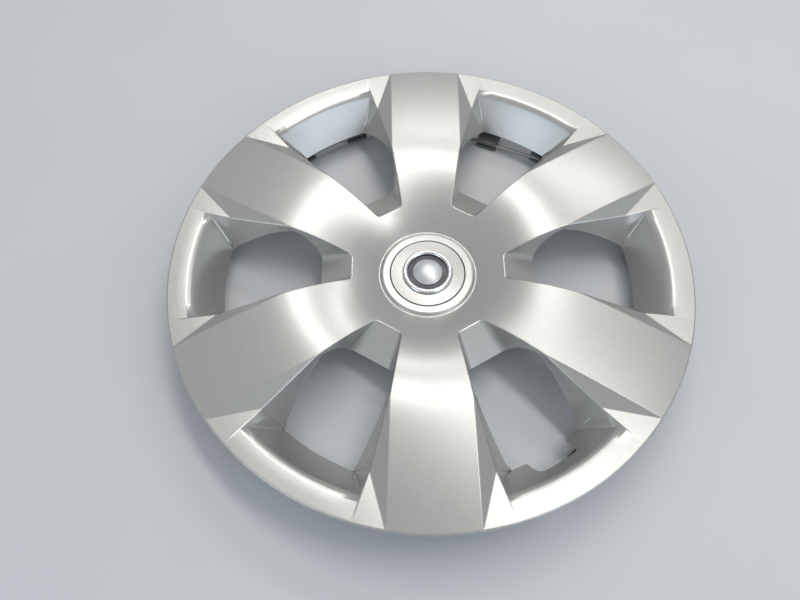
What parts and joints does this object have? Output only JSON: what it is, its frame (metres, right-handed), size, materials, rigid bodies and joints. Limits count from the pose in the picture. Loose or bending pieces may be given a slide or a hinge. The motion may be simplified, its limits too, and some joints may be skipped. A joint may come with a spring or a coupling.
{
  "type": "wheel cover",
  "caption": "Round silver wheel cover with broad spokes, open windows with folded corners, a centre cap, and clips with a spring ring that hold it in a wheel rim.",
  "frame": {"origin": "on the cover's axis, at the level of the clips' ends", "axes": "+Z out of the wheel along the axis, through the middle of the outside face; +Y along the middle of one spoke; +X along the middle of one window, in the plane of the cover"},
  "size_m": [0.428, 0.428, 0.0532],
  "materials": {
    "cover_paint": "silver metallic paint under clear coat, on moulded plastic; bare grey plastic behind",
    "spring_steel": "zinc plated spring wire",
    "cap_paint": "silver metallic paint under clear coat",
    "emblem_chrome": "bright plated",
    "nut_steel": "plain spring steel"
  },
  "bodies": {
    "root": {"cover": "cover_paint", "retention_wire": "spring_steel", "centre_cap": "cap_paint", "emblem": "emblem_chrome", "push_nuts": "nut_steel"}
  },
  "joints": []
}
